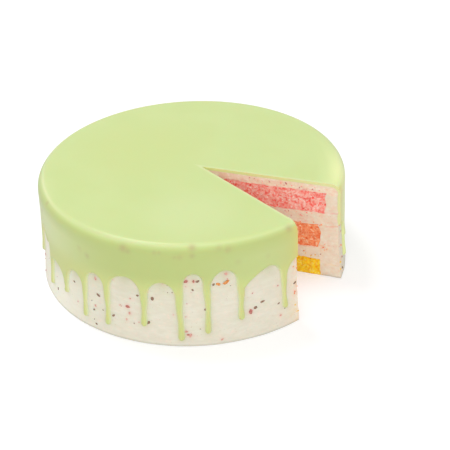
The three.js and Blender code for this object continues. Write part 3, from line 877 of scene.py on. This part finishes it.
for band, out, up, steps in (
    (front_band, GLAZE_GAP + SIDE_THICKNESS, GLAZE_GAP + TOP_THICKNESS, RIM_STEPS),
    (back_band, GLAZE_BACK, BACK_TOP, BACK_RIM_STEPS),
):
    foot = np.concatenate((*band, band[0][:1]))
    rows = [foot]
    for height in np.linspace(BAND_FOOT, corner_foot, SHOULDER_ROWS + 1)[1:]:
        rows.append(ring_at(foot, coat_radius(height) + out, height))
    for bend in np.linspace(0, math.pi / 2, steps + 1)[1:]:
        radius = corner_start + (COAT_CORNER + out) * math.cos(bend)
        rows.append(ring_at(foot, radius, corner_foot + (COAT_CORNER + up) * math.sin(bend)))
    glaze.sheet(np.stack(rows))
    radii = [corner_start * (1 - step / TOP_RINGS) for step in range(1, TOP_RINGS)]
    rings = np.stack([ring_at(foot, radius, rows[-1][0, 2], TOP_COLUMNS) for radius in radii])
    if band is front_band:
        rings[..., 2] -= 0.1 * (1 + ripple(rings, 38.0, 111))
    glaze.strip(rows[-1], rings[0])
    glaze.sheet(rings)
    glaze.sheet(np.stack((rings[-1], np.broadcast_to(rings[-1].mean(0), rings[-1].shape))))
glaze_skin = make_piece("glaze_skin", *glaze.weld())

KNIFE_LENGTH, KNIFE_SPAN = 300, (-10.0, 200.0)
knife_shell = Shell()
knife_corners = (NOTCH_TIP, *(NOTCH_TIP + KNIFE_LENGTH * heading(NOTCH_TURNS)))
wedge = np.array([[(*corner, height) for height in KNIFE_SPAN] for corner in knife_corners])
knife_shell.sheet(wedge[[0, 1, 2, 0]])
for level in (0, 1):
    knife_shell.strip(wedge[:2, level], wedge[[0, 2], level])
knife = make_piece("knife", *knife_shell.weld())
slicing = glaze_skin.modifiers.new("slicing", "BOOLEAN")
slicing.operation = "DIFFERENCE"
slicing.object = knife
slicing.solver = "MANIFOLD"
sliced = bpy.data.meshes.new_from_object(glaze_skin.evaluated_get(bpy.context.evaluated_depsgraph_get()))
glaze_skin.modifiers.clear()
glaze_skin.data = sliced
sliced.name = "glaze_skin"
sliced.set_sharp_from_angle(angle=math.radians(40))
bpy.data.objects.remove(knife)


def places(items, name):
    """Where a mesh's points or faces are, in millimetres."""
    found = np.empty(3 * len(items), np.float32)
    items.foreach_get(name, found)
    return found.reshape(-1, 3).astype(float) / MILLIMETRE


# Bits of fruit in the cream below shade the thin glaze at the rim: angle, height, size and depth of each.
HIDDEN_SMUDGES = 26
smudges = [
    (-77.6, 78.6, 3.0, 1.0), (-75.9, 77.0, 2.2, 0.8), (-53.6, 81.8, 2.6, 1.0), (-53.7, 76.8, 2.0, 0.8),
    (-58.0, 75.8, 2.0, 0.6), (-59.6, 75.8, 1.6, 0.5), (-64.8, 78.5, 1.4, 0.5), (-66.4, 78.5, 1.6, 0.6),
    (-44.6, 80.4, 2.4, 0.5), (-41.6, 78.9, 2.4, 0.7), (-38.3, 67.7, 2.2, 0.4), (-27.3, 66.4, 2.0, 0.3),
    (-18.0, 81.0, 2.8, 1.0), (-93.0, 62.6, 2.2, 0.8), (-96.7, 66.3, 2.4, 0.4),
]
for _ in range(HIDDEN_SMUDGES):
    place = (chance.uniform(20, 250), chance.uniform(60, 82))
    smudges.append((*place, chance.uniform(1.6, 3.0), chance.uniform(0.3, 1.0)))
points = places(sliced.vertices, "co")
fruit = np.zeros(len(points))
for angle, height, size, depth in smudges:
    beyond = max(height - corner_foot, 0) / (COAT_CORNER + TOP_THICKNESS)
    drawn_in = (COAT_CORNER + GLAZE_GAP + SIDE_THICKNESS) * (1 - math.sqrt(max(1 - beyond ** 2, 0)))
    centre, _ = side_spot(angle, height, SIDE_THICKNESS - drawn_in)
    fruit = np.maximum(fruit, depth * bell(np.linalg.norm(points - centre, axis=1), 0, size))

# Painted light: the glaze's side is lightened down three stretches, most at the left where the light falls:
# angle, spread and share of each.
PAINTED_LIGHT_STRETCHES = ((-118, 22, 1.0), (-26, 22, 0.3), (100, 40, 0.6))
RIM_CREST = 82.9
heights, reaches = points[:, 2], np.hypot(points[:, 0], points[:, 1])
around = np.degrees(np.arctan2(points[:, 1], points[:, 0]))
outer_rim = reaches > corner_start - 1
# Painted highlight: a pale line along the rounded rim, strongest at the left and weakest at the front.
at_left = bell(around, -128, 16)
crest = (0.34 + 0.66 * at_left - 0.2 * bell(around, -92, 15)) * outer_rim
lip = ramp(reaches - coat_radius(heights), SIDE_THICKNESS + GLAZE_GAP, 0) * (heights < BAND_FOOT)
painted_side_light = sum(share * bell(around, angle, spread) for angle, spread, share in PAINTED_LIGHT_STRETCHES)
# Partly the glaze's thin lip showing the cream through, partly painted light on the lip's sides.
mark(glaze_skin, "lip", lip)
mark(glaze_skin, "edge", on_cut(places(sliced.polygons, "center"))[0], "FACE")
mark(glaze_skin, "fruit", fruit)
mark(glaze_skin, "warm", np.exp(-edge_distance(points) / 8) * (heights < COAT_TOP))
mark(glaze_skin, "crest", crest * bell(heights, RIM_CREST + 0.45 * at_left, 0.65 - 0.2 * at_left))
# Painted shade: the rim is darkened at the front, round -80 degrees.
mark(glaze_skin, "painted_rim_shade", bell(heights, RIM_CREST, 0.9) * bell(around, -80, 20) * outer_rim)
# Painted light: near the rim round +26 degrees the glaze is lightened, against the shade of its rounded
# edge.
mark(glaze_skin, "pale", bell(around, 26, 16) * ramp(reaches, 102, 114))
mark(glaze_skin, "painted_side_light", painted_side_light * ramp(heights, 81, 69))

# The cream is darkened along the glaze's edge, partly by the glaze seeping into it and partly as painted
# shade, and more below each arch, as painted shade under the band.
edge_spots = np.concatenate([np.concatenate(edges) for edges, _ in drips])
crown_spots = np.array([(edges[0][0, 0], crowns[0]) for edges, crowns in drips])
side_turns = np.arctan2(side_points[:, 1], side_points[:, 0])
unrolled = np.stack((side_turns * COAT_RADIUS, side_points[:, 2]), -1)
seep_and_shade = np.zeros(len(coat.data.vertices))
for seep_shade_spots, falloff, share in ((edge_spots, 1.6, 0.45), (crown_spots, 8.0, 0.9)):
    tree = KDTree(3 * len(seep_shade_spots))
    for number, (across, up) in enumerate(seep_shade_spots):
        for lap in (-1, 0, 1):
            tree.insert((across + lap * whole_turn, up, 0), 3 * number + lap + 1)
    tree.balance()
    distances = np.array([tree.find((across, up, 0))[2] for across, up in unrolled])
    seep_and_shade[side] = np.maximum(seep_and_shade[side], share * np.exp(-distances / falloff))
mark(coat, "seep_and_shade", seep_and_shade)

material, wiring = new_material("Poured glaze")
spot = wiring.place()
split = wiring.node("ShaderNodeSeparateXYZ", {"Vector": spot}).outputs
top_green = wiring.blend(
    wiring.span(wiring.noise(spot, 42.0), 0.3, 0.7), linear(202, 218, 145), linear(200, 216, 141)
)
# Two broad faint patches of the top: middle, radius and colour of each.
TOP_PATCHES = ((-52, 2, 84), 72, (201, 215, 138)), ((45, -62, 84), 50, (205, 220, 152))
for centre, radius, patch_green in TOP_PATCHES:
    away = wiring.node("ShaderNodeVectorMath", {0: spot, 1: centre}, operation="DISTANCE").outputs["Value"]
    top_green = wiring.tints(top_green, (wiring.span(away, radius, 0.2 * radius), patch_green))
# The side's green, lightened by the painted light of the stretches above.
side_green = wiring.blend(wiring.attribute("painted_side_light"), linear(187, 200, 124), linear(215, 224, 162))
# The glaze's cut faces: partly the cut glaze's own yellower green, partly painted light where they lie in
# shade.
edge_green = wiring.blend(wiring.span(split["X"], 20, 100), linear(225, 233, 156), linear(230, 231, 166))
# Painted highlight: the top is palest in a thin line along the two cuts.
gaps = []
for out in WALL_OUTS:
    inputs = {0: spot, 1: tuple(-out)}
    along = wiring.node("ShaderNodeVectorMath", inputs, operation="DOT_PRODUCT").outputs["Value"]
    gaps.append(wiring.maths("ADD", along, float(NOTCH_TIP @ out[:2])))
cut_edge_highlight = wiring.span(wiring.maths("MAXIMUM", *gaps), 2.6, 0.8, 0.0, 0.7)
green = wiring.tints(
    top_green,
    # Painted shade: down the rounded rim the top's green gives way to the darker side green, partly standing
    # in for the shade of the upright side.
    (wiring.span(split["Z"], 83.8, 79.0), side_green),
    (wiring.span(split["Z"], 60, 44), (205, 212, 136)),
    # The lip: partly the cream showing through, partly painted light.
    (wiring.attribute("lip", 0.8), (236, 234, 200)),
    # Painted shade on the rim at the front.
    (wiring.attribute("painted_rim_shade"), (199, 210, 146)),
    # Painted highlight along the rim.
    (wiring.attribute("crest"), (222, 230, 174)),
    # Painted light near the rim.
    (wiring.attribute("pale"), (230, 238, 168)),
    (wiring.attribute("warm", 0.75), (224, 207, 116)),
    (wiring.attribute("fruit", 0.4), (176, 142, 116)),
    # Painted highlight along the cuts.
    (wiring.maths("MULTIPLY", cut_edge_highlight, wiring.span(split["Z"], 83.0, 83.7)), (215, 225, 168)),
    (wiring.attribute("edge"), edge_green),
)
finish_material(
    wiring, green, wiring.noise(spot, 7.0), 0.05, roughness=0.45, ior=1.42,
    coat_weight=0.4, coat_roughness=0.3, subsurface_weight=0.2, subsurface_scale=0.004,
)
sliced.materials.clear()
sliced.materials.append(material)
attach(glaze_skin, "root")
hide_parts("glaze")

# The loose crumbs: bits of all three sponges that the knife dragged out and left stuck to the walls of the
# notch, thickest on the cream next to the sponge that they came from. A few hang on the coat beside it.
CRUMB_COUNTS = {"yellow": 60, "orange": 90, "pink": 110}
CRUMB_REACH, CRUMB_LOWEST, CRUMB_HIGHEST, STRAY_CRUMB = 112, 1.1, 79, 7
for layer, slot, *_ in SPONGES:
    flavour = slot.split("_")[0]
    shell = Shell()
    for number in range(CRUMB_COUNTS[flavour]):
        wall = number % 2
        turn, out = NOTCH_TURNS[wall], WALL_OUTS[wall]
        station = CRUMB_REACH * math.sqrt(chance.uniform(0.01, 1))
        height = chance.choice((layer_foot(layer), LAYERS[layer][1])) + chance.normal(0, 3.0)
        height = min(max(height, CRUMB_LOWEST), CRUMB_HIGHEST)
        proud = 0.15
        # Some crumbs hang on the coat's side instead, close to the cut.
        if number % STRAY_CRUMB == 0:
            turn += (1, -1)[wall] * abs(chance.normal(0, 0.035))
            out = np.array((*heading(turn), 0.0))
            height = min(max(height, 8), 60)
            station, proud = coat_radius(height), 0.1
        centre = np.array((*spots_on_rays(np.array([turn]), station)[0], height)) + proud * out
        length = chance.uniform(0.5, 1.5)
        shard(shell, centre, out, length, 0.8 * length, 0.7 * length, 300 + number)
    piece = make_piece("crumbs_" + flavour, *shell.weld(), crease=50)
    mark(piece, "pore", np.zeros(len(piece.data.vertices)))
    piece.data.materials.append(bpy.data.materials["Sponge crumb, " + flavour])
    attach(piece, "root")

# The setting: a plain white sweep in a bright even room, under a soft lamp high up and a little behind the
# cake on the left, with a broad fill in front. The camera stands where the photograph was taken from.
FLOOR_REACH, FLOOR_DROP, FLOOR_GLOW = 4.0, 0.0002, 0.34
floor_mesh = bpy.data.meshes.new("floor")
corners = [(x * FLOOR_REACH, y * FLOOR_REACH, 0) for x, y in ((-1, -1), (1, -1), (1, 1), (-1, 1))]
floor_mesh.from_pydata(corners, [], [(0, 1, 2, 3)])
floor = bpy.data.objects.new("floor", floor_mesh)
floor.location.z = -FLOOR_DROP
bpy.context.scene.collection.objects.link(floor)
material, wiring = new_material("Pale floor")
tone = wiring.span(wiring.noise(wiring.place(), 300.0), 0.3, 0.7)
sweep = wiring.blend(tone, (0.71, 0.71, 0.71, 1), (0.73, 0.73, 0.73, 1))
seen = wiring.node("ShaderNodeLightPath").outputs["Is Camera Ray"]
finish_material(
    wiring, sweep, tone, 0.0, roughness=0.9, ior=1.3,
    emission_color=(1, 1, 1, 1), emission_strength=wiring.maths("MULTIPLY", seen, FLOOR_GLOW),
)
floor_mesh.materials.append(material)

scene = bpy.context.scene
scene.view_settings.view_transform = "Standard"
ROOM_LIGHT, BACKDROP_LIGHT = 0.78, 1.05
room = bpy.data.worlds.new("room")
room.use_nodes = True
wiring = Wiring(room.node_tree)
seen = wiring.node("ShaderNodeLightPath").outputs["Is Camera Ray"]
strength = wiring.maths("MULTIPLY_ADD", seen, BACKDROP_LIGHT - ROOM_LIGHT, ROOM_LIGHT)
sky = wiring.node("ShaderNodeBackground", {"Color": (1, 1, 1, 1), "Strength": strength})
wiring.node("ShaderNodeOutputWorld", {"Surface": sky.outputs[0]})
scene.world = room

photo_turn = Matrix.Rotation(math.radians(37.5), 3, "Z")
# Where each lamp stands as the camera sees it, its width and power, and whether the glaze mirrors it.
LAMPS = {
    "overhead_lamp": ((-0.45, 0.5, 1.6), 0.6, 7, True),
    "front_fill": ((0.1, -1.95, 1.0), 1.6, 15, False),
}
for name, (place, size, energy, mirrored) in LAMPS.items():
    lamp = bpy.data.lights.new(name, "AREA")
    lamp.shape = "DISK"
    lamp.size = size
    lamp.energy = energy
    lamp_object = bpy.data.objects.new(name, lamp)
    scene.collection.objects.link(lamp_object)
    lamp_object.location = photo_turn @ Vector(place)
    lamp_object.rotation_euler = (-lamp_object.location).to_track_quat("-Z", "Y").to_euler()
    lamp_object.visible_glossy = mirrored

CAMERA_DISTANCE, CAMERA_LENS, CAMERA_FILM, CAMERA_LIMIT = 0.9002, 87.46, 36, 20
CAMERA_RISE = math.radians(33.27)
CAMERA_PAN, CAMERA_TILT, CAMERA_ROLL = (math.radians(angle) for angle in (-1.61, 1.42, 2.82))
stand = Vector((0, -math.cos(CAMERA_RISE), math.sin(CAMERA_RISE))) * CAMERA_DISTANCE
ahead = -stand.normalized()
right = ahead.cross(Vector((0, 0, 1))).normalized()
up = right.cross(ahead)
ahead, right = (Matrix.Rotation(CAMERA_PAN, 3, up) @ way for way in (ahead, right))
ahead, up = (Matrix.Rotation(CAMERA_TILT, 3, right) @ way for way in (ahead, up))
right, up = (Matrix.Rotation(CAMERA_ROLL, 3, ahead) @ way for way in (right, up))
camera = bpy.data.cameras.new("camera")
camera.sensor_width = CAMERA_FILM
camera.lens = CAMERA_LENS
camera.clip_end = CAMERA_LIMIT
camera_object = bpy.data.objects.new("camera", camera)
scene.collection.objects.link(camera_object)
axes = Matrix([photo_turn @ way for way in (right, up, -ahead)]).transposed()
camera_object.matrix_world = Matrix.Translation(photo_turn @ stand) @ axes.to_4x4()
scene.camera = camera_object
